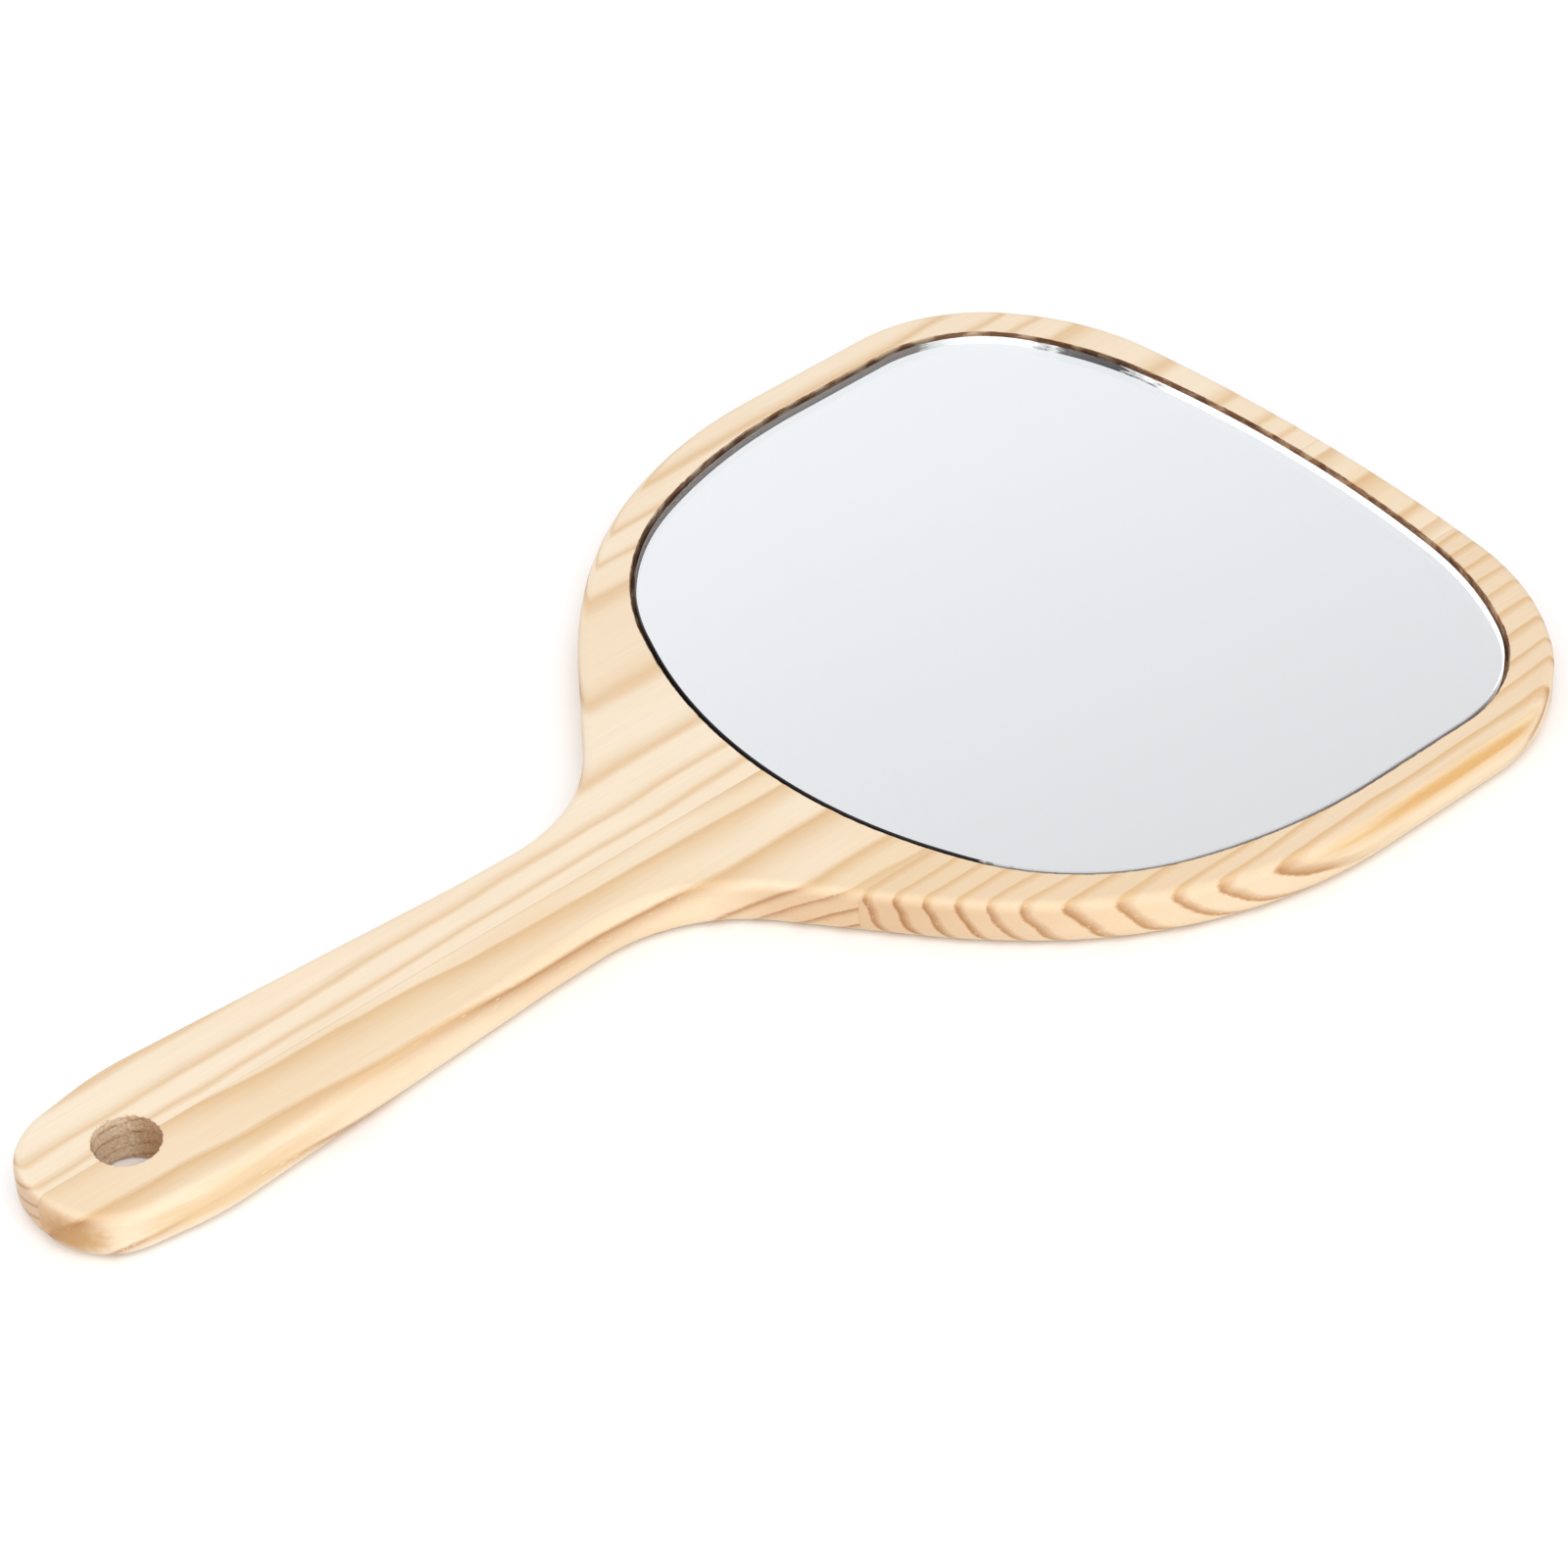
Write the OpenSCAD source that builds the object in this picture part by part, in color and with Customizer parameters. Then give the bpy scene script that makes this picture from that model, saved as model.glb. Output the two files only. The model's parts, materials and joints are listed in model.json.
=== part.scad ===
// Wooden hand mirror: a flat paddle of three edge-glued pine boards, with a glass
// mirror bedded on foam tape in a pocket routed into its front.
// The frame's origin is at the middle of the back face. +Y runs from the handle to
// the head, +X to the right seen from the front, and +Z out of the mirror's face.

/* [Body] */
// Overall length, from the handle's end to the far edge
body_len = 320; // [312:1:340]
// Thickness of the boards
body_t = 11; // [10:0.5:14]
// Width of the head
head_w = 182; // [178:1:186]
// Width of the handle near its end
grip_w = 36; // [34:0.5:38]
// Width of the handle where it meets the head
waist_w = 27; // [26:0.5:30]
// Radius of the rounding along the front edge
front_edge_r = 2.2; // [1:0.1:3]
// Radius of the rounding along the back edge
back_edge_r = 4.5; // [3:0.5:5]

/* [Hanging hole] */
// Diameter of the hole through the handle
hole_d = 12.7; // [8:0.1:14]
// Distance from the handle's end to the hole's centre
hole_from_end = 20; // [18:0.5:24]

/* [Glass pocket] */
// Width of the wooden rim beside the pocket
rim_side = 8.2; // [7:0.1:10]
// Width of the wooden rim at the far edge
rim_far = 6.6; // [6:0.1:9]
// Length of the pocket along the mirror
pocket_len = 146; // [142:1:148]
// Depth of the pocket below the front face
pocket_depth = 3.4; // [3.4:0.1:6]

/* [Mirror glass] */
// Thickness of the glass pane
glass_t = 2; // [1.8:0.1:2.2]
// Gap between the pane's edge and the pocket's wall
glass_gap = 0.9; // [0.3:0.1:1.2]
// Width of the ground chamfer along the pane's front edge
glass_chamfer = 0.25; // [0.1:0.05:0.5]
// Thickness of the silver layer behind the glass
silver_t = 0.1; // [0.1:0.05:0.15]
// Thickness of the paint that protects the silver
paint_t = 0.15; // [0.1:0.05:0.15]

/* [Foam tape] */
// Thickness of the double-sided foam tape
tape_t = 0.85; // [0.5:0.05:0.85]
// Width of a strip of tape
tape_w = 18; // [12:1:24]
// Length of a strip of tape
tape_len = 50; // [30:1:56]

/* [Glue joints] */
// Distance of the middle glue joint from the mirror's middle line
middle_joint_x = 1; // [0.5:0.1:2]
// Distance of the right glue joint from the mirror's middle line
right_joint_x = 40; // [36:0.5:46]

/* [Hidden] */

far_y = body_len / 2;
end_y = -body_len / 2;
hole_y = end_y + hole_from_end;
pocket_far_y = far_y - rim_far;
pocket_near_y = pocket_far_y - pocket_len;
pocket_floor_z = body_t - pocket_depth;
tape_top_z = pocket_floor_z + tape_t;
paint_top_z = tape_top_z + paint_t;
silver_top_z = paint_top_z + silver_t;
glass_top_z = silver_top_z + glass_t;
tape_corner_r = 1;
tape_pitch = 42;
tape_mid_y = 88;
cut_over = 1;
// Largest distance between an arc and the chords that stand for it
chord_error = 0.04;
edge_steps = 4;

// How far an outline's corner stands beyond the arc of radius r that rounds it,
// where the outline's middle meets two straight lines that fall away at slope.
function crown(r, slope) = r * (1 / cos(slope) - 1);

// Right half of the body's outline before rounding, from the far edge to the
// handle's end: [x, y, radius].
far_r = 435;
far_slope = 6;
far_corner_x = head_w * 0.346;
far_peak_y = far_y + crown(far_r, far_slope);
end_r = 21;
end_slope = 10;
end_corner_x = grip_w / 2 - 2.8;
end_peak_y = end_y - crown(end_r, end_slope);
body_corners = [
    [0, far_peak_y, far_r],
    [far_corner_x, far_peak_y - far_corner_x * tan(far_slope), 57],
    [head_w / 2, far_y - 26.5, 38],
    [head_w / 2, far_y - 114, 96],
    [head_w * 0.314, far_y - 150, 136],
    [waist_w / 2 - 0.1, far_y - 184, 36],
    [waist_w / 2 + 0.6, end_y + 105, 100],
    [grip_w / 2 + 1, end_y + 26.5, 56],
    [end_corner_x, end_peak_y + end_corner_x * tan(end_slope), 15],
    [0, end_peak_y, end_r],
];

// Right half of the pocket's outline, from its far edge to its near one.
pocket_half_w = head_w / 2 - rim_side;
pocket_far_r = 275;
pocket_far_slope = 8.2;
pocket_far_x = pocket_half_w * 0.65;
pocket_far_peak_y = pocket_far_y + crown(pocket_far_r, pocket_far_slope);
pocket_near_r = 109;
pocket_near_slope = 22.6;
pocket_near_x = pocket_half_w * 0.815;
pocket_near_peak_y = pocket_near_y - crown(pocket_near_r, pocket_near_slope);
pocket_corners = [
    [0, pocket_far_peak_y, pocket_far_r],
    [pocket_far_x, pocket_far_peak_y - pocket_far_x * tan(pocket_far_slope), 74],
    [pocket_half_w, pocket_far_y - 21.2, 31.5],
    [pocket_half_w, pocket_far_y - 84.2, 114],
    [pocket_near_x, pocket_near_peak_y + pocket_near_x * tan(pocket_near_slope), 55],
    [0, pocket_near_peak_y, pocket_near_r],
];

// Both halves of a symmetric outline, clockwise from the far edge.
function both_halves(half) = concat(
    half,
    [for (i = [len(half) - 2 : -1 : 1]) [-half[i].x, half[i].y, half[i].z]]
);

function heading(v) = atan2(v.y, v.x);
function wrap(a) = a > 180 ? a - 360 : (a < -180 ? a + 360 : a);

// The outline with each corner rounded by its own arc, moved inwards by inset.
// A clockwise outline turns right at an outer corner and left at a hollow one.
function rounded(corners, inset = 0) = [
    for (i = [0 : len(corners) - 1])
        let (
            before = corners[(i + len(corners) - 1) % len(corners)],
            here = corners[i],
            after = corners[(i + 1) % len(corners)],
            heading_in = heading([here.x - before.x, here.y - before.y]),
            turn = wrap(heading([after.x - here.x, after.y - here.y]) - heading_in),
            side = turn < 0 ? 1 : -1,
            r = here.z,
            to_start = r * tan(abs(turn) / 2),
            start = [here.x - to_start * cos(heading_in), here.y - to_start * sin(heading_in)],
            centre = start + side * r * [sin(heading_in), -cos(heading_in)],
            steps = ceil(abs(turn) / (2 * acos(1 - chord_error / r)))
        )
        for (k = [0 : steps])
            let (
                a = heading_in + turn * k / steps,
                outward = [-sin(a), cos(a)]
            )
            centre + outward * (side * r - inset)
];

// A closed solid through rings of points that have the same number of points each
// and run clockwise seen from +Z, given from the lowest to the highest.
module loft(rings) {
    n = len(rings[0]);
    last = len(rings) - 1;
    polyhedron(
        points = [for (ring = rings) each ring],
        faces = concat(
            [[for (i = [n - 1 : -1 : 0]) i]],
            [[for (i = [0 : n - 1]) last * n + i]],
            [for (j = [0 : last - 1]) for (i = [0 : n - 1])
                [j * n + i, j * n + (i + 1) % n, (j + 1) * n + (i + 1) % n, (j + 1) * n + i]]
        )
    );
}

function at_height(outline, z) = [for (p = outline) [p.x, p.y, z]];

// The whole body before it is split: the outline, rounded over at both faces. The
// rounded skin runs on past the two faces, which are cut flat.
module body_blank() {
    corners = both_halves(body_corners);
    back = [for (k = [0 : edge_steps])
        let (a = 90 * k / edge_steps)
        [back_edge_r * (1 - sin(a)), back_edge_r * (1 - cos(a))]];
    front = [for (k = [0 : edge_steps])
        let (a = 90 * k / edge_steps)
        [front_edge_r * (1 - cos(a)), body_t - front_edge_r * (1 - sin(a))]];
    profile = concat([[back_edge_r, -cut_over]], back, front, [[front_edge_r, body_t + cut_over]]);
    intersection() {
        loft([for (step = profile) at_height(rounded(corners, step[0]), step[1])]);
        translate([-head_w, -body_len, 0])
            cube([2 * head_w, 2 * body_len, body_t]);
    }
}

// The pocket that holds the mirror, open at the front.
module pocket() {
    translate([0, 0, pocket_floor_z])
        linear_extrude(pocket_depth + cut_over)
            polygon(rounded(both_halves(pocket_corners)));
}

// The hole by which the mirror hangs, right through the handle.
module hanging_hole() {
    translate([0, hole_y, -cut_over])
        cylinder(h = body_t + 2 * cut_over, d = hole_d, $fn = 64);
}

// The board between two upright planes, one to its left and one to its right.
module board(left_x, right_x) {
    difference() {
        intersection() {
            body_blank();
            translate([left_x, -body_len, -cut_over])
                cube([right_x - left_x, 2 * body_len, body_t + 2 * cut_over]);
        }
        pocket();
        hanging_hole();
    }
}

// The left half of the head and of the handle.
module left_board() {
    color([0.90, 0.77, 0.58])
        board(-head_w, middle_joint_x);
}

// The right half of the handle and the middle of the head.
module centre_board() {
    color([0.93, 0.80, 0.61])
        board(middle_joint_x, right_joint_x);
}

// The narrow board that makes up the head's width.
module right_board() {
    color([0.88, 0.74, 0.54])
        board(right_joint_x, head_w);
}

// Outline of the mirror plate, inside the pocket's wall.
function plate_outline(inset = 0) = rounded(both_halves(pocket_corners), glass_gap + inset);

// The glass, with its front edge ground to a narrow chamfer.
module glass_pane() {
    color([0.85, 0.92, 0.90, 0.5])
        loft([
            at_height(plate_outline(), silver_top_z),
            at_height(plate_outline(), glass_top_z - glass_chamfer),
            at_height(plate_outline(glass_chamfer), glass_top_z),
        ]);
}

// A layer of the mirror plate, as wide as the glass.
module plate_layer(z, thickness) {
    translate([0, 0, z])
        linear_extrude(thickness)
            polygon(plate_outline());
}

// The silver that reflects, on the back of the glass.
module silver_layer() {
    color([0.88, 0.89, 0.90])
        plate_layer(paint_top_z, silver_t);
}

// The paint that keeps damp off the silver.
module backing_paint() {
    color([0.35, 0.36, 0.38])
        plate_layer(tape_top_z, paint_t);
}

// One strip of tape with slightly rounded corners, centred on its own middle.
module tape_strip() {
    linear_extrude(tape_t)
        offset(tape_corner_r)
            square([tape_w - 2 * tape_corner_r, tape_len - 2 * tape_corner_r], center = true);
}

// Three strips of double-sided tape, side by side, that hold the plate in its pocket.
module foam_tape_strips() {
    color([0.95, 0.95, 0.93])
        for (i = [-1 : 1])
            translate([i * tape_pitch, tape_mid_y, pocket_floor_z])
                tape_strip();
}

left_board();
centre_board();
right_board();
glass_pane();
silver_layer();
backing_paint();
foam_tape_strips();
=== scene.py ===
"""Looks of a wooden hand mirror: three glued pine boards, a mirror plate and the tape behind it.

The CAD model gives the frame: the origin is in the middle of the back face, +Y runs from the
handle to the head, +X to the right seen from the front, and +Z out of the mirror. Blender's
units are metres; sizes below are written in millimetres times MM.
"""

import json
import math

import bmesh
import bpy
from mathutils import Matrix, Vector, noise


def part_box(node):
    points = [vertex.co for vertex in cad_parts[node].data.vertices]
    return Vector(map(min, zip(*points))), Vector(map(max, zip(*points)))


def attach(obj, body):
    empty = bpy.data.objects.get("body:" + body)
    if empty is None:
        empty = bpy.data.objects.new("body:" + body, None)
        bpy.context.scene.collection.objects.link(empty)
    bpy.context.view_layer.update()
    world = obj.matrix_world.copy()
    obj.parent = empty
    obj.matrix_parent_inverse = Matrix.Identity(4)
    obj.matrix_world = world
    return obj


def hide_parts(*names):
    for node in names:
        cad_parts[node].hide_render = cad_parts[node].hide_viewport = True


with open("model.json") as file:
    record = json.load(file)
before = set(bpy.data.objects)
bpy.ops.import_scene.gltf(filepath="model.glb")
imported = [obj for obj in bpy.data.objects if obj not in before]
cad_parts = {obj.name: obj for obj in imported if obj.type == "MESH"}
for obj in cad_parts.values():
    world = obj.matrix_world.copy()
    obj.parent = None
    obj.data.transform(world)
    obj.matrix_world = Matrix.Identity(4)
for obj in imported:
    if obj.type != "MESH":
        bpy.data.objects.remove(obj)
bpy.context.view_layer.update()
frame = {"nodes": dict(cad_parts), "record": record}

MM = 0.001

# ---------------------------------------------------------------------------
# Sizes from the frame
# ---------------------------------------------------------------------------

left_low, left_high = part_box("left_board")
right_low, right_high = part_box("right_board")
glass_low, glass_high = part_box("glass_pane")
tape_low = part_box("foam_tape_strips")[0]
silver_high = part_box("silver_layer")[1]
hole = next(m for m in frame["record"]["mounts"] if m["name"] == "hanging_hole")

FAR_Y = left_high.y
END_Y = left_low.y
HALF_WIDTH = right_high.x
FACE_Z = left_high.z
MIDDLE_JOINT_X = left_high.x
RIGHT_JOINT_X = right_low.x
HOLE_Y = hole["pos_m"][1]
HOLE_R = hole["dims"]["r_mm"] * MM
POCKET_FLOOR_Z = tape_low.z
SILVER_TOP_Z = silver_high.z
GLASS_TOP_Z = glass_high.z

# Sizes that the frame doesn't give, as in the CAD source.
GRIP_HALF = 18 * MM
WAIST_HALF = 13.5 * MM
FRONT_EDGE_R = 2.2 * MM
BACK_EDGE_R = 4.5 * MM
GLASS_GAP = 0.9 * MM
GLASS_CHAMFER = 0.25 * MM
POCKET_HALF = glass_high.x + GLASS_GAP
POCKET_FAR_Y = glass_high.y + GLASS_GAP
POCKET_NEAR_Y = glass_low.y - GLASS_GAP

# Fineness of the meshes.
CHORD_ERROR = 0.008 * MM
SKIN_STEPS = 12
WALL_STEP = 0.6 * MM
BORE_POINTS = 160


# ---------------------------------------------------------------------------
# Outlines
# ---------------------------------------------------------------------------

def crown(radius, slope):
    """How far a corner stands beyond the arc that rounds it, where both sides fall at slope."""
    return radius * (1 / math.cos(math.radians(slope)) - 1)


def fall(distance, slope):
    """How far a line that falls at slope degrees drops over a distance."""
    return distance * math.tan(math.radians(slope))


def both_halves(half):
    """A symmetric outline from its right half, clockwise from the far edge: (x, y, radius)."""
    return half + [(-x, y, r) for x, y, r in reversed(half[1:-1])]


def body_corners():
    far_r = 435 * MM
    far_slope = 6
    far_x = HALF_WIDTH * 0.692
    far_peak = FAR_Y + crown(far_r, far_slope)
    end_r = 21 * MM
    end_slope = 10
    end_x = GRIP_HALF - 2.8 * MM
    end_peak = END_Y - crown(end_r, end_slope)
    return both_halves([
        (0, far_peak, far_r),
        (far_x, far_peak - fall(far_x, far_slope), 57 * MM),
        (HALF_WIDTH, FAR_Y - 26.5 * MM, 38 * MM),
        (HALF_WIDTH, FAR_Y - 114 * MM, 96 * MM),
        (HALF_WIDTH * 0.628, FAR_Y - 150 * MM, 136 * MM),
        (WAIST_HALF - 0.1 * MM, FAR_Y - 184 * MM, 36 * MM),
        (WAIST_HALF + 0.6 * MM, END_Y + 105 * MM, 100 * MM),
        (GRIP_HALF + 1 * MM, END_Y + 26.5 * MM, 56 * MM),
        (end_x, end_peak + fall(end_x, end_slope), 15 * MM),
        (0, end_peak, end_r),
    ])


def pocket_corners():
    far_r = 275 * MM
    far_slope = 8.2
    far_x = POCKET_HALF * 0.65
    far_peak = POCKET_FAR_Y + crown(far_r, far_slope)
    near_r = 109 * MM
    near_slope = 22.6
    near_x = POCKET_HALF * 0.815
    near_peak = POCKET_NEAR_Y - crown(near_r, near_slope)
    return both_halves([
        (0, far_peak, far_r),
        (far_x, far_peak - fall(far_x, far_slope), 74 * MM),
        (POCKET_HALF, POCKET_FAR_Y - 21.2 * MM, 31.5 * MM),
        (POCKET_HALF, POCKET_FAR_Y - 84.2 * MM, 114 * MM),
        (near_x, near_peak + fall(near_x, near_slope), 55 * MM),
        (0, near_peak, near_r),
    ])


def rounded(corners, inset=0.0):
    """The clockwise outline with an arc at each corner, moved inwards by inset."""
    points = []
    for i, (x, y, radius) in enumerate(corners):
        before = corners[i - 1]
        after = corners[(i + 1) % len(corners)]
        heading = math.atan2(y - before[1], x - before[0])
        turn = math.atan2(after[1] - y, after[0] - x) - heading
        turn = (turn + math.pi) % (2 * math.pi) - math.pi
        side = 1 if turn < 0 else -1
        reach = radius * math.tan(abs(turn) / 2)
        start = Vector((x - reach * math.cos(heading), y - reach * math.sin(heading)))
        centre = start + side * radius * Vector((math.sin(heading), -math.cos(heading)))
        steps = math.ceil(abs(turn) / (2 * math.acos(1 - CHORD_ERROR / radius)))
        for k in range(steps + 1):
            angle = heading + turn * k / steps
            outward = Vector((-math.sin(angle), math.cos(angle)))
            points.append(centre + outward * (side * radius - inset))
    return points


def evenly(points, step):
    """The same closed outline with no side longer than step."""
    fine = []
    for here, after in zip(points, points[1:] + points[:1]):
        count = max(1, math.ceil((after - here).length / step))
        fine += [here.lerp(after, k / count) for k in range(count)]
    return fine


def circle(radius, centre_y, count):
    angles = [-2 * math.pi * k / count for k in range(count)]
    return [Vector((radius * math.cos(a), centre_y + radius * math.sin(a))) for a in angles]


def outward_normals(points):
    """Unit normals of a clockwise outline, pointing out of the area that it encloses."""
    normals = []
    for i in range(len(points)):
        along = points[(i + 1) % len(points)] - points[i - 1]
        normals.append(Vector((-along.y, along.x)).normalized())
    return normals


# ---------------------------------------------------------------------------
# Meshes
# ---------------------------------------------------------------------------

def at_height(points, z):
    return [Vector((p.x, p.y, z)) for p in points]


def wall(bm, rings, slot):
    """Joins closed rings of points with quads, in order. Returns the first and last edge loops."""
    rows = [[bm.verts.new(p) for p in ring] for ring in rings]
    for lower, upper in zip(rows, rows[1:]):
        for i in range(len(lower)):
            face = bm.faces.new((lower[i - 1], lower[i], upper[i], upper[i - 1]))
            face.material_index = slot
    ends = rows[0], rows[-1]
    return [[bm.edges.get((row[i - 1], row[i])) for i in range(len(row))] for row in ends]


def cap(bm, edges, slot):
    """Fills the flat area between closed loops of edges."""
    made = bmesh.ops.triangle_fill(bm, edges=edges, use_beauty=True)
    for item in made["geom"]:
        if isinstance(item, bmesh.types.BMFace):
            item.material_index = slot


def make_object(name, bm, materials):
    """An object from a bmesh, shaded smooth across soft edges and flat across sharp ones."""
    sharp_angle = math.radians(38)
    bmesh.ops.recalc_face_normals(bm, faces=bm.faces)
    mesh = bpy.data.meshes.new(name)
    bm.to_mesh(mesh)
    bm.free()
    for material in materials:
        mesh.materials.append(material)
    mesh.shade_smooth()
    mesh.set_sharp_from_angle(angle=sharp_angle)
    obj = bpy.data.objects.new(name, mesh)
    bpy.context.scene.collection.objects.link(obj)
    weighted = obj.modifiers.new("weighted", "WEIGHTED_NORMAL")
    weighted.keep_sharp = True
    evaluated = obj.evaluated_get(bpy.context.evaluated_depsgraph_get())
    final = bpy.data.meshes.new_from_object(evaluated)
    obj.modifiers.clear()
    obj.data = final
    final.name = name
    return obj


FINISHED, ROUTED, BORED = range(3)


def outer_rings():
    """Rings of the body's skin, from the flat back round both edges to the flat front."""
    corners = body_corners()
    profile = []
    angles = [math.pi / 2 * k / SKIN_STEPS for k in range(SKIN_STEPS + 1)]
    for a in angles:
        profile.append((BACK_EDGE_R * (1 - math.sin(a)), BACK_EDGE_R * (1 - math.cos(a))))
    for a in angles:
        height = FACE_Z - FRONT_EDGE_R * (1 - math.sin(a))
        profile.append((FRONT_EDGE_R * (1 - math.cos(a)), height))
    return [at_height(rounded(corners, inset), z) for inset, z in profile]


def rough_wall(outline, heights, bulge, grain, roughness, seed):
    """Rings of a cut wall. bulge gives how far a height stands back from the outline, grain is
    the size of the unevenness along the wall and down it, and roughness how deep it is."""
    normals = outward_normals(outline)
    rings = []
    for z in heights:
        ring = []
        for p, n in zip(outline, normals):
            spot = Vector((p.x / grain[0], p.y / grain[0], z / grain[1] + seed))
            uneven = roughness * (noise.noise(spot) + 0.5 * noise.noise(spot * 2.7))
            ring.append(Vector((*(p + n * (bulge(z) + uneven)), z)))
        rings.append(ring)
    return rings


def eased(depth, ease):
    """How far a wall stands back at a depth below a rim that is rounded by ease."""
    share = min(depth / ease, 1)
    return ease * (1 - math.sqrt(1 - (1 - share) ** 2))


def pocket_rings():
    """Rings of the routed pocket's wall, from its rim to its floor."""
    ease = 0.18 * MM
    outline = evenly(rounded(pocket_corners()), WALL_STEP)
    rim = [FACE_Z - ease * k / 3 for k in range(4)]
    visible = [FACE_Z - ease - 0.28 * MM * k for k in range(1, 8)]
    heights = rim + visible + [POCKET_FLOOR_Z]

    def bulge(z):
        return eased(FACE_Z - z, ease)

    return rough_wall(outline, heights, bulge, (1.5 * MM, 0.9 * MM), 0.11 * MM, seed=3)


def bore_rings():
    """Rings of the hanging hole's wall, from the back to the front."""
    back_ease = 1.5 * MM
    front_ease = 0.25 * MM
    outline = circle(HOLE_R, HOLE_Y, BORE_POINTS)
    rows = 22
    rim = [0, 0.1, 0.3, 0.6, 1]
    length = FACE_Z - back_ease - front_ease
    between = [back_ease + length * k / rows for k in range(1, rows)]
    back_rim = [back_ease * d for d in rim]
    front_rim = [FACE_Z - front_ease * d for d in reversed(rim)]

    def bulge(z):
        if z < FACE_Z / 2:
            return eased(z, back_ease)
        return eased(FACE_Z - z, front_ease)

    heights = back_rim + between + front_rim
    return rough_wall(outline, heights, bulge, (0.7 * MM, 0.5 * MM), 0.2 * MM, seed=11)


def body_mesh():
    """The whole wooden body, before it is parted at the glue joints."""
    bm = bmesh.new()
    back_edge, front_edge = wall(bm, outer_rings(), FINISHED)
    lip, floor_edge = wall(bm, pocket_rings(), ROUTED)
    bore_back, bore_front = wall(bm, bore_rings(), BORED)
    cap(bm, back_edge + bore_back, FINISHED)
    cap(bm, front_edge + lip + bore_front, FINISHED)
    cap(bm, floor_edge, ROUTED)
    return bm


def board(name, body, low_x, high_x, materials):
    """The part of the body between two upright planes. A plane of None is left out."""
    bm = body.copy()
    for x, keep_right in ((low_x, True), (high_x, False)):
        if x is None:
            continue
        everything = bm.verts[:] + bm.edges[:] + bm.faces[:]
        cut = bmesh.ops.bisect_plane(
            bm, geom=everything, plane_co=(x, 0, 0), plane_no=(1, 0, 0),
            clear_inner=keep_right, clear_outer=not keep_right,
        )
        cap(bm, [e for e in cut["geom_cut"] if isinstance(e, bmesh.types.BMEdge)], FINISHED)
    return make_object(name, bm, materials)


def glass_mesh():
    """The pane: flat faces, ground edge and chamfer. It dips a hair into the silver, so that a ray
    in the glass meets the silver and not air."""
    overlap = 0.01 * MM
    corners = pocket_corners()
    profile = [
        (0, SILVER_TOP_Z - overlap),
        (0, GLASS_TOP_Z - GLASS_CHAMFER),
        (GLASS_CHAMFER, GLASS_TOP_Z),
    ]
    rings = [at_height(rounded(corners, GLASS_GAP + inset), z) for inset, z in profile]
    bm = bmesh.new()
    back_edge, front_edge = wall(bm, rings, 1)
    cap(bm, back_edge, 0)
    cap(bm, front_edge, 0)
    return bm


# ---------------------------------------------------------------------------
# Node graphs
# ---------------------------------------------------------------------------

class Graph:
    """A node tree with short ways to add to it. An input is a number, a tuple or a socket."""

    def __init__(self, tree):
        self.tree = tree
        self.nodes = tree.nodes

    def feed(self, socket, value):
        if isinstance(value, bpy.types.NodeSocket):
            self.tree.links.new(value, socket)
        else:
            socket.default_value = value

    def add(self, kind, inputs=None, **settings):
        node = self.nodes.new(kind)
        for key, value in settings.items():
            setattr(node, key, value)
        for key, value in (inputs or {}).items():
            self.feed(node.inputs[key], value)
        return node

    def math(self, operation, *values):
        node = self.add("ShaderNodeMath", operation=operation)
        for socket, value in zip(node.inputs, values):
            self.feed(socket, value)
        return node.outputs[0]

    def vector_math(self, operation, *values):
        node = self.add("ShaderNodeVectorMath", operation=operation)
        for socket, value in zip(node.inputs, values):
            self.feed(socket, value)
        gives_number = operation in ("DOT_PRODUCT", "LENGTH")
        return node.outputs["Value" if gives_number else "Vector"]

    def split(self, vector):
        return self.add("ShaderNodeSeparateXYZ", {"Vector": vector}).outputs

    def position(self):
        """The place on the object, in metres."""
        return self.add("ShaderNodeTexCoord").outputs["Object"]

    def noise(self, vector, factors, detail=2.0, roughness=0.5):
        """Noise from 0 to 1, with a number of cells per unit of length along each axis."""
        inputs = {
            "Vector": self.vector_math("MULTIPLY", vector, factors),
            "Scale": 1.0,
            "Detail": detail,
            "Roughness": roughness,
        }
        return self.add("ShaderNodeTexNoise", inputs).outputs["Fac"]

    def remap(self, value, from_low, from_high, to_low=0.0, to_high=1.0, smooth=True):
        node = self.add("ShaderNodeMapRange", interpolation_type="SMOOTHSTEP" if smooth else "LINEAR")
        for socket, number in zip(node.inputs, (value, from_low, from_high, to_low, to_high)):
            self.feed(socket, number)
        return node.outputs[0]

    def mix(self, factor, first, second, blend="MIX"):
        node = self.add("ShaderNodeMix", data_type="RGBA", blend_type=blend)
        self.feed(node.inputs[0], factor)
        self.feed(node.inputs[6], first)
        self.feed(node.inputs[7], second)
        return node.outputs[2]

    def curve(self, value, points):
        """A curve of straight stretches through points from (0, 0) to (1, 1)."""
        node = self.add("ShaderNodeFloatCurve", {"Value": value})
        track = node.mapping.curves[0]
        while len(track.points) < len(points):
            track.points.new(0.5, 0.5)
        for spot, (x, y) in zip(track.points, points):
            spot.location = (x, y)
            spot.handle_type = "VECTOR"
        node.mapping.update()
        return node.outputs[0]

    def bump(self, shader, height, depth, strength=1.0):
        inputs = {"Strength": strength, "Distance": depth, "Height": height}
        node = self.add("ShaderNodeBump", inputs)
        self.feed(shader.inputs["Normal"], node.outputs[0])


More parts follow.
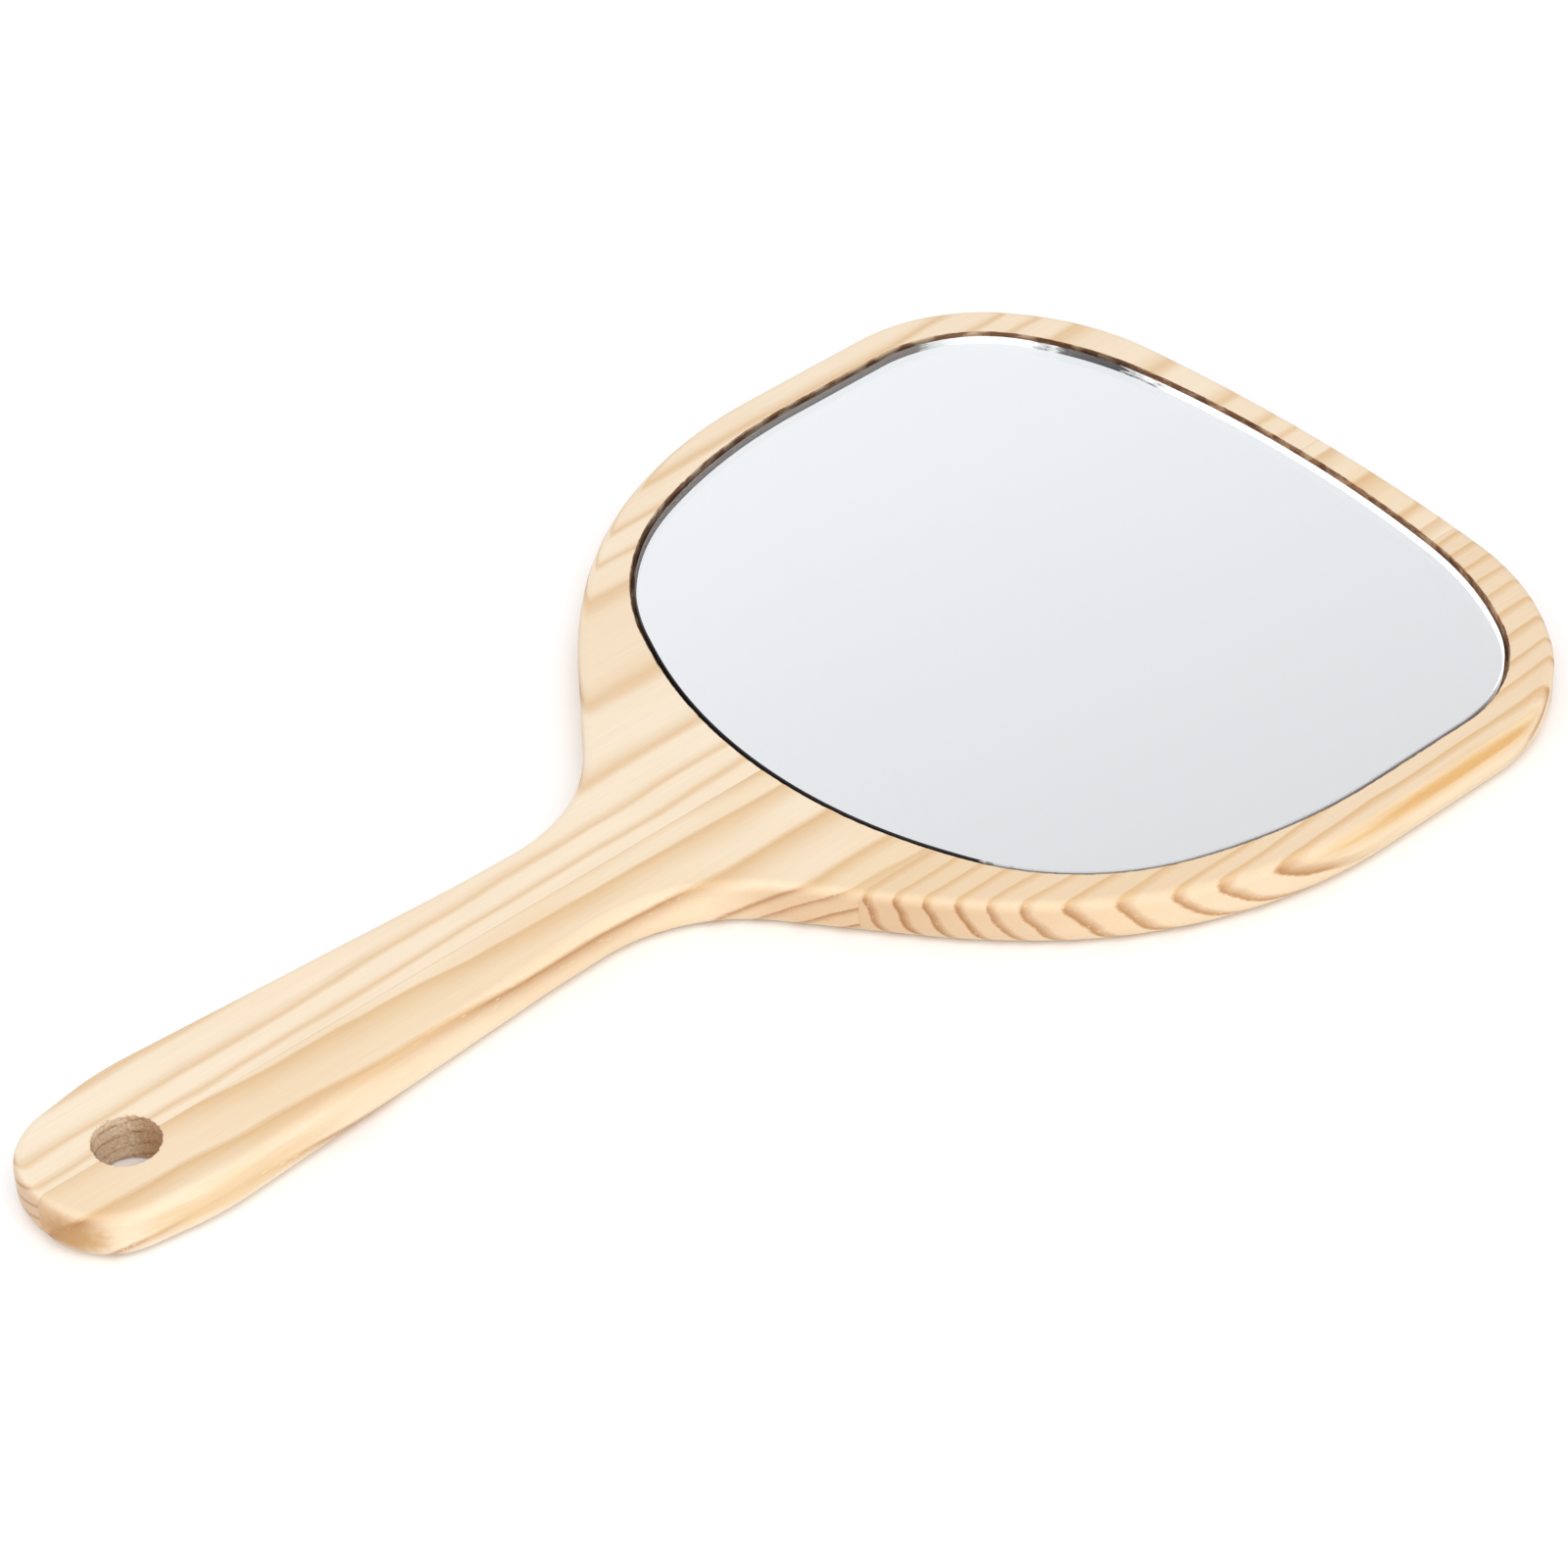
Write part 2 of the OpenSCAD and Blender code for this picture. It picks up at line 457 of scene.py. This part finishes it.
def new_material(name):
    material = bpy.data.materials.new(name)
    material.use_nodes = True
    material.node_tree.nodes.clear()
    graph = Graph(material.node_tree)
    shader = graph.add("ShaderNodeBsdfPrincipled")
    output = graph.add("ShaderNodeOutputMaterial")
    graph.feed(output.inputs["Surface"], shader.outputs[0])
    return material, graph, shader


def rgba(colour):
    return (*colour, 1.0)


# ---------------------------------------------------------------------------
# Pine
# ---------------------------------------------------------------------------

# Each board's growth rings, in millimetres. The rings are cylinders round the pith, which
# runs nearly along the board at (x, z). rings are the places where the dark outer edge of
# each ring meets the front face at y = 0, from the pith outwards; more follow on both sides,
# inner_ring and outer_ring apart. spread is the share of a ring that darkens towards its
# edge, fade how suddenly, side_fade how much more suddenly on the side faces, and after the
# share of the next ring over which it ends. lean is how far the lines move towards +X per
# millimetre of y, and bow how they curve about BOW_Y. early are the two colours of the pale
# part, late how much of the dark colour shows. patches are places of another colour, such as
# resin: centre, reach and colour.
BOARDS = {
    "left": {
        "pith": (-100, 260),
        "rings": [-93, -82, -74, -68, -60, -36.6, -18.7, -9.2, -3.6, 4],
        "inner_ring": 3.0,
        "outer_ring": 2.6,
        "spread": 0.32,
        "fade": 1.6,
        "side_fade": 1.2,
        "after": 0.2,
        "lean": -0.014,
        "bow": 0.0,
        "seed": 0.0,
        "early": [(0.835, 0.705, 0.530), (0.805, 0.650, 0.455)],
        "late": 0.85,
    },
    "centre": {
        "pith": (78, -62),
        "rings": [37.7, 31.5, 18.2, 6.4, 0, -8, -17],
        "inner_ring": 3.8,
        "outer_ring": 5.0,
        "spread": 0.54,
        "fade": 1.4,
        "side_fade": 1.6,
        "after": 0.12,
        "lean": 0.0,
        "bow": -0.00018,
        "seed": 17.0,
        "early": [(0.828, 0.700, 0.520), (0.790, 0.615, 0.405)],
        "late": 1.0,
        "patches": [
            ((8.5, -158, 6), (11, 7, 4.6), (0.600, 0.370, 0.145)),
            ((18.5, -132, 6.5), (4, 34, 5), (0.720, 0.515, 0.280)),
        ],
    },
    "right": {
        "pith": (150, 45),
        "rings": [98, 92.5, 87.3, 83, 79.3, 73.7, 68.2, 62.8, 58.1, 53.3, 48.6, 44.4, 40],
        "inner_ring": 5.0,
        "outer_ring": 4.4,
        "spread": 0.32,
        "fade": 0.8,
        "side_fade": 1.1,
        "after": 0.1,
        "lean": -0.0136,
        "bow": -0.00021,
        "seed": 41.0,
        "early": [(0.772, 0.605, 0.412), (0.755, 0.570, 0.365)],
        "late": 1.1,
        "patches": [
            ((91, 102, 3.5), (5, 44, 5), (0.790, 0.640, 0.430)),
            ((90.4, 104, 9.0), (3.4, 54, 3.0), (0.720, 0.500, 0.235)),
            ((90.8, 104, 9.4), (2.2, 40, 1.6), (0.620, 0.340, 0.100)),
        ],
    },
}
BOW_Y = 52

# How the growth rings stray, from the slow waves to the fibres: noise cells per millimetre
# along each axis, detail of the noise, and width of the band they stray in, in millimetres.
STRAYING = [
    ((0.035, 0.017, 0.05), 1.0, 3.4),
    ((0.10, 0.035, 0.15), 2.0, 2.2),
    ((2.6, 0.09, 2.6), 2.0, 0.55),
]

# Colours that the boards share: a ring's dark edge on the faces and on the sides, the pale
# dots in it where resin canals run, and the glue in the joints.
LATE_FACE = (0.670, 0.435, 0.210)
LATE_SIDE = (0.440, 0.215, 0.070)
CANAL = (0.850, 0.660, 0.430)
GLUE = (0.420, 0.260, 0.130)

# Tints that darken the wood where the fibres end, where the router burnt it, which also paints
# the shade of the pocket's recess on its wall, and where the drill tore it.
END_GRAIN_TINT = (0.760, 0.630, 0.520)
BURN_AND_SHADE_TINT = (0.220, 0.130, 0.080)
TEAR_TINT = (0.800, 0.680, 0.580)


def ring_graph(graph, place, spec):
    """How dark the wood is at a place in millimetres, from 0 in the pale part of a growth
    ring to 1 at its outer edge, and the number of that ring."""
    pith_x, pith_z = spec["pith"]
    face_z = FACE_Z / MM
    x, y, z = graph.split(place)
    seeded = graph.vector_math("ADD", place, (spec["seed"] * 10, 0, 0))

    shift = 0.0
    for cells, detail, band in STRAYING:
        stray = graph.math("SUBTRACT", graph.noise(seeded, cells, detail), 0.5)
        shift = graph.math("MULTIPLY_ADD", stray, band, shift)
    from_bow = graph.math("SUBTRACT", y, BOW_Y)
    bowed = graph.math("MULTIPLY", graph.math("MULTIPLY", from_bow, from_bow), spec["bow"])
    drift = graph.math("MULTIPLY_ADD", y, spec["lean"], bowed)
    drift = graph.math("SUBTRACT", drift, spec["bow"] * BOW_Y ** 2)

    across = graph.math("SUBTRACT", graph.math("SUBTRACT", x, drift), pith_x)
    across = graph.math("ADD", across, shift)
    up = graph.math("SUBTRACT", z, pith_z)
    up_squared = graph.math("MULTIPLY", up, up)
    radius = graph.math("SQRT", graph.math("MULTIPLY_ADD", across, across, up_squared))

    edges = [math.hypot(ring_x - pith_x, face_z - pith_z) for ring_x in spec["rings"]]
    edges = [edges[0] - k * spec["inner_ring"] for k in (5, 4, 3, 2, 1)] + edges
    edges += [edges[-1] + k * spec["outer_ring"] for k in (1, 2, 3)]
    count = len(edges) - 1
    reach = edges[-1] - edges[0]
    share = graph.remap(radius, edges[0], edges[-1], smooth=False)
    points = [((edge - edges[0]) / reach, k / count) for k, edge in enumerate(edges)]
    phase = graph.math("MULTIPLY", graph.curve(share, points), count)
    ring = graph.math("FLOOR", phase)
    within = graph.math("SUBTRACT", phase, ring)

    rise = graph.remap(within, 1 - spec["spread"], 1.0, smooth=False)
    rise = graph.math("POWER", rise, spec["fade"])
    after = graph.remap(within, 0.0, spec["after"], 1.0, 0.0)
    return graph.math("MAXIMUM", rise, graph.math("MULTIPLY", after, 0.85)), ring


def late_share(graph, place, late, ring, side, spec, surface):
    """How much of the dark colour shows. It differs from ring to ring, and in the drilled hole
    it is broken up where the fibres are torn."""
    number = graph.add("ShaderNodeTexWhiteNoise", {"W": ring}, noise_dimensions="1D")
    strength = graph.remap(number.outputs["Value"], 0.0, 1.0, 0.78, 1.0, smooth=False)
    strength = graph.math("MULTIPLY", strength, spec["late"])
    fade = graph.remap(side, 0.0, 1.0, 1.0, spec["side_fade"])
    share = graph.math("MULTIPLY", graph.math("POWER", late, fade), strength)
    if surface == "bored":
        torn = graph.noise(place, (0.25, 0.25, 0.9), detail=3.0)
        share = graph.math("MULTIPLY", share, graph.remap(torn, 0.42, 0.6, 0.1, 0.9))
    return share


def with_patches(graph, place, colour, patches):
    """The colour with soft patches of other colours in it, ragged along the fibres."""
    for centre, reach, tint in patches:
        offset = graph.vector_math("SUBTRACT", place, centre)
        scaled = graph.vector_math("MULTIPLY", offset, [1 / r for r in reach])
        distance = graph.vector_math("LENGTH", scaled)
        ragged = graph.noise(place, (0.9, 0.05, 0.9), detail=3.0)
        ragged = graph.math("MULTIPLY_ADD", ragged, 0.7, distance)
        colour = graph.mix(graph.remap(ragged, 0.6, 1.4, 0.85, 0.0), colour, rgba(tint))
    return colour


def with_canals(graph, place, colour, late, side):
    """The colour with the dots of resin canals, which show most on the sides."""
    stretched = graph.vector_math("MULTIPLY", place, (1.0, 0.25, 1.0))
    cells = graph.add("ShaderNodeTexVoronoi", {"Vector": stretched, "Scale": 1.0})
    canal = graph.remap(cells.outputs["Distance"], 0.12, 0.2, 1.0, 0.0)
    clearness = graph.math("MULTIPLY", late, graph.remap(side, 0.0, 1.0, 0.15, 0.7))
    return graph.mix(graph.math("MULTIPLY", canal, clearness), colour, rgba(CANAL))


def with_joints(graph, place, colour, joints):
    """The colour with a thin dark line at each glue joint."""
    x = graph.split(place)[0]
    for joint in joints:
        away = graph.math("ABSOLUTE", graph.math("SUBTRACT", x, joint / MM))
        colour = graph.mix(graph.remap(away, 0.04, 0.16, 0.25, 0.0), colour, rgba(GLUE))
    return colour


def with_tool_marks(graph, place, colour, surface):
    """The colour after the tool that cut the surface, with painted shade on the routed pocket's wall.
    """
    if surface == "routed":
        # Painted shade: the pocket's wall is darkened partly for router burn and partly for the shade
        # in the recess.
        burn_and_shade = graph.noise(place, (0.22, 0.22, 0.4), detail=3.0)
        burn_and_shade = graph.remap(burn_and_shade, 0.35, 0.6, 0.5, 1.0)
        return graph.mix(burn_and_shade, colour, rgba(BURN_AND_SHADE_TINT), "MULTIPLY")
    if surface == "bored":
        tear = graph.noise(place, (1.6, 1.6, 2.4), detail=4.0, roughness=0.7)
        tear = graph.remap(tear, 0.4, 0.65)
        return graph.mix(tear, colour, rgba(TEAR_TINT), "MULTIPLY")
    return colour


def pine(name, spec, joints, surface):
    """Pine of one board. joints are the places of its glue joints along X, and surface is
    finished, routed or bored."""
    material, graph, shader = new_material(name)
    coordinates = graph.add("ShaderNodeTexCoord")
    place = graph.vector_math("MULTIPLY", coordinates.outputs["Object"], (1 / MM,) * 3)
    normal = graph.split(coordinates.outputs["Normal"])
    end_grain = graph.remap(graph.math("ABSOLUTE", normal[1]), 0.45, 1.0)
    side = graph.remap(graph.math("ABSOLUTE", normal[2]), 0.35, 0.95, 1.0, 0.0)
    late, ring = ring_graph(graph, place, spec)

    tone = graph.noise(place, (0.045, 0.012, 0.045), detail=2.0)
    pale, warm = spec["early"]
    early = graph.mix(graph.remap(tone, 0.35, 0.68), rgba(pale), rgba(warm))
    late_colour = graph.mix(side, rgba(LATE_FACE), rgba(LATE_SIDE))
    share = late_share(graph, place, late, ring, side, spec, surface)
    colour = graph.mix(share, early, late_colour)
    colour = with_patches(graph, place, colour, spec.get("patches", []))

    streak = graph.noise(place, (2.4, 0.06, 2.4), detail=3.0, roughness=0.6)
    shade = graph.remap(streak, 0.3, 0.7, 0.97, 1.02, smooth=False)
    grey = graph.add("ShaderNodeCombineColor", {"Red": shade, "Green": shade, "Blue": shade})
    colour = graph.mix(1.0, colour, grey.outputs[0], "MULTIPLY")

    colour = with_canals(graph, place, colour, late, side)
    colour = graph.mix(end_grain, colour, rgba(END_GRAIN_TINT), "MULTIPLY")
    colour = with_joints(graph, place, colour, joints)
    colour = with_tool_marks(graph, place, colour, surface)
    graph.feed(shader.inputs["Base Color"], colour)

    relief = graph.math("MULTIPLY_ADD", late, 0.5, streak)
    if surface == "finished":
        graph.feed(shader.inputs["Roughness"], graph.remap(streak, 0.3, 0.7, 0.5, 0.6))
        shader.inputs["Coat Weight"].default_value = 0.07
        shader.inputs["Coat Roughness"].default_value = 0.28
        graph.bump(shader, relief, 0.03 * MM)
    else:
        graph.feed(shader.inputs["Roughness"], graph.remap(streak, 0.3, 0.7, 0.75, 0.9))
        graph.bump(shader, relief, 0.12 * MM)
    return material


def pine_set(key, joints):
    """The board's three materials, in the order of the slots FINISHED, ROUTED and BORED."""
    surfaces = ("finished", "routed", "bored")
    return [pine(f"{key}_pine_{surface}", BOARDS[key], joints, surface) for surface in surfaces]


# ---------------------------------------------------------------------------
# Mirror plate and tape
# ---------------------------------------------------------------------------

def glass_material():
    """Clear float glass, faintly green, with a trace of dust on it."""
    material, graph, shader = new_material("mirror_glass")
    place = graph.position()
    film = graph.noise(place, (60, 60, 60), detail=4.0)
    shader.inputs["Base Color"].default_value = rgba((0.972, 0.990, 0.984))
    shader.inputs["Transmission Weight"].default_value = 1.0
    shader.inputs["IOR"].default_value = 1.52
    graph.feed(shader.inputs["Roughness"], graph.remap(film, 0.3, 0.8, 0.0, 0.012))
    return material


def ground_glass_material():
    """The ground edge of the pane, matt, with light and shade painted on it: pale where light falls
    at the far and right sides and in the far left corner, nearly black elsewhere. At the far end it
    glows, for the light that gathers in the edge, which a path tracer mostly loses."""
    material, graph, shader = new_material("ground_glass_edge")
    place = graph.position()
    marks = graph.noise(place, (900, 900, 2600), detail=3.0)
    chips = graph.noise(place, (260, 260, 700), detail=3.0)
    x, y, _ = graph.split(place)
    # Painted light: the edge is painted pale where light falls on it, on the right side, at the far
    # end and in the far left corner.
    far_right = graph.vector_math("DOT_PRODUCT", place, (1.0, 0.7, 0.0))
    far_right = graph.math("MULTIPLY_ADD", chips, 30 * MM, far_right)
    far_right = graph.remap(far_right, 75 * MM, 85 * MM)
    far_left = graph.vector_math("DOT_PRODUCT", place, (-0.7, 0.7, 0.0))
    far_left = graph.math("MULTIPLY_ADD", chips, 8 * MM, far_left)
    far_left = graph.remap(far_left, 146 * MM, 148 * MM)
    white = graph.math("MAXIMUM", far_right, far_left)
    white = graph.math("MULTIPLY", white, graph.remap(chips, 0.68, 0.74, 1.0, 0.4))
    # Painted shade: elsewhere the edge is painted nearly black, less dark towards the far left.
    thin = graph.remap(x, -75 * MM, -40 * MM, 1.0, 0.0)
    painted_shade_colour = graph.mix(thin, rgba((0.030, 0.027, 0.030)), rgba((0.400, 0.350, 0.320)))
    # The lit part is painted grey on the right side, in the tone of the glass's reflection, and white
    # at the far end.
    far_end = graph.remap(y, 118 * MM, 134 * MM)
    matt = graph.mix(far_end, rgba((0.62, 0.63, 0.64)), rgba((0.96, 0.97, 0.97)))
    graph.feed(shader.inputs["Base Color"], graph.mix(white, painted_shade_colour, matt))
    graph.feed(shader.inputs["Roughness"], graph.remap(marks, 0.2, 0.8, 0.45, 0.7))
    shader.inputs["Specular IOR Level"].default_value = 0.2
    # Painted light: the lit far end also glows.
    glow = graph.math("MULTIPLY", graph.math("MULTIPLY", white, far_end), 0.65)
    shader.inputs["Emission Color"].default_value = rgba((1.0, 1.0, 1.0))
    graph.feed(shader.inputs["Emission Strength"], glow)
    graph.bump(shader, marks, 0.02 * MM, strength=0.4)
    return material


def silver_material():
    """The silver behind the glass, with a hardly visible cloud in it."""
    material, graph, shader = new_material("silvering")
    place = graph.position()
    cloud = graph.noise(place, (12, 12, 12), detail=2.0)
    colour = graph.mix(cloud, rgba((0.925, 0.935, 0.940)), rgba((0.945, 0.950, 0.955)))
    graph.feed(shader.inputs["Base Color"], colour)
    shader.inputs["Metallic"].default_value = 1.0
    shader.inputs["Roughness"].default_value = 0.0
    return material


def paint_material():
    """The grey paint behind the silver, rolled on, with a fine orange peel."""
    material, graph, shader = new_material("grey_backing_paint")
    place = graph.position()
    peel = graph.noise(place, (700, 700, 700), detail=3.0)
    tone = graph.noise(place, (25, 25, 25), detail=3.0)
    colour = graph.mix(tone, rgba((0.15, 0.16, 0.17)), rgba((0.19, 0.20, 0.21)))
    graph.feed(shader.inputs["Base Color"], colour)
    graph.feed(shader.inputs["Roughness"], graph.remap(peel, 0.2, 0.8, 0.5, 0.65))
    graph.bump(shader, peel, 0.02 * MM, strength=0.5)
    return material


def foam_material():
    """White closed-cell foam: rounded cells with thin walls between them."""
    material, graph, shader = new_material("white_foam_tape")
    place = graph.position()
    cells = graph.add("ShaderNodeTexVoronoi", {"Vector": place, "Scale": 2200.0})
    cells = cells.outputs["Distance"]
    wall_share = graph.remap(cells, 0.1, 0.6)
    colour = graph.mix(wall_share, rgba((0.74, 0.74, 0.71)), rgba((0.87, 0.87, 0.84)))
    graph.feed(shader.inputs["Base Color"], colour)
    shader.inputs["Roughness"].default_value = 0.85
    graph.bump(shader, cells, 0.08 * MM, strength=0.8)
    return material


def dress(node, material):
    """Gives a CAD node that stays in view its own material."""
    obj = frame["nodes"][node]
    obj.data.materials.clear()
    obj.data.materials.append(material)


# ---------------------------------------------------------------------------
# The pieces
# ---------------------------------------------------------------------------

def make_boards():
    body = body_mesh()
    layout = [
        ("left", None, MIDDLE_JOINT_X),
        ("centre", MIDDLE_JOINT_X, RIGHT_JOINT_X),
        ("right", RIGHT_JOINT_X, None),
    ]
    for key, low_x, high_x in layout:
        joints = [x for x in (low_x, high_x) if x is not None]
        piece = board(f"{key}_board_wood", body, low_x, high_x, pine_set(key, joints))
        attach(piece, "root")
        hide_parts(f"{key}_board")
    body.free()


def make_plate():
    materials = [glass_material(), ground_glass_material()]
    glass = make_object("mirror_glass_pane", glass_mesh(), materials)
    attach(glass, "root")
    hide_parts("glass_pane")
    dress("silver_layer", silver_material())
    dress("backing_paint", paint_material())
    dress("foam_tape_strips", foam_material())


# ---------------------------------------------------------------------------
# Floor, light and camera
# ---------------------------------------------------------------------------

def make_floor():
    """A pale floor, a hair below the back, so that the two don't lie in one plane."""
    half_width = 4.0
    bm = bmesh.new()
    bmesh.ops.create_grid(bm, x_segments=1, y_segments=1, size=half_width)
    mesh = bpy.data.meshes.new("floor")
    bm.to_mesh(mesh)
    bm.free()
    floor = bpy.data.objects.new("floor", mesh)
    floor.location.z = -0.05 * MM
    bpy.context.scene.collection.objects.link(floor)
    material, _, shader = new_material("pale_floor")
    shader.inputs["Base Color"].default_value = rgba((0.96, 0.96, 0.96))
    shader.inputs["Roughness"].default_value = 0.9
    shader.inputs["Specular IOR Level"].default_value = 0.1
    mesh.materials.append(material)


def make_world():
    """A pale studio, brightest near the horizon, a little darker overhead and on the far right."""
    world = bpy.data.worlds.new("studio")
    world.use_nodes = True
    world.node_tree.nodes.clear()
    graph = Graph(world.node_tree)
    direction = graph.add("ShaderNodeTexCoord").outputs["Generated"]
    towards_dark = graph.vector_math("DOT_PRODUCT", direction, (0.41, 0.46, 1.83))
    darker = graph.remap(towards_dark, 1.02, 1.38, smooth=False)
    colour = graph.mix(darker, rgba((1.02, 1.02, 1.045)), rgba((0.66, 0.65, 0.665)))
    background = graph.add("ShaderNodeBackground", {"Color": colour, "Strength": 1.0})
    output = graph.add("ShaderNodeOutputWorld")
    graph.feed(output.inputs["Surface"], background.outputs[0])
    bpy.context.scene.world = world


def make_light(name, azimuth, elevation, distance, size, watts):
    """A soft box that faces the mirror."""
    light = bpy.data.lights.new(name, "AREA")
    light.shape = "DISK"
    light.size = size
    light.energy = watts
    obj = bpy.data.objects.new(name, light)
    away = direction_to(azimuth, elevation)
    obj.location = away * distance
    obj.rotation_euler = away.to_track_quat("Z", "Y").to_euler()
    bpy.context.scene.collection.objects.link(obj)


def direction_to(azimuth, elevation):
    """Unit vector from the mirror to a viewer at an azimuth from -Y towards +X, in degrees."""
    a, e = math.radians(azimuth), math.radians(elevation)
    return Vector((math.sin(a) * math.cos(e), -math.cos(a) * math.cos(e), math.sin(e)))


def make_camera():
    """A long lens from the near right, held slightly askew."""
    azimuth, elevation, roll = 49.81, 40.20, -2.16
    distance = 0.9625
    aim = Vector((7.1 * MM, 7.6 * MM, FACE_Z))
    camera = bpy.data.cameras.new("camera")
    camera.sensor_width = 36
    camera.lens = 117.3
    camera.clip_start = 0.01
    obj = bpy.data.objects.new("camera", camera)
    bpy.context.scene.collection.objects.link(obj)
    back = direction_to(azimuth, elevation)
    level = Vector((0, 0, 1)).cross(back).normalized()
    raised = back.cross(level)
    turn = math.radians(roll)
    right = math.cos(turn) * level + math.sin(turn) * raised
    up = -math.sin(turn) * level + math.cos(turn) * raised
    pose = Matrix((right, up, back)).transposed().to_4x4()
    pose.translation = aim + back * distance
    obj.matrix_world = pose
    bpy.context.scene.camera = obj


make_camera()
make_boards()
make_plate()
make_floor()
make_world()
make_light("key_softbox", azimuth=62, elevation=60, distance=1.6, size=1.2, watts=10.5)
make_light("side_softbox", azimuth=80, elevation=14, distance=1.5, size=1.0, watts=3.5)
bpy.context.scene.view_settings.view_transform = "Standard"
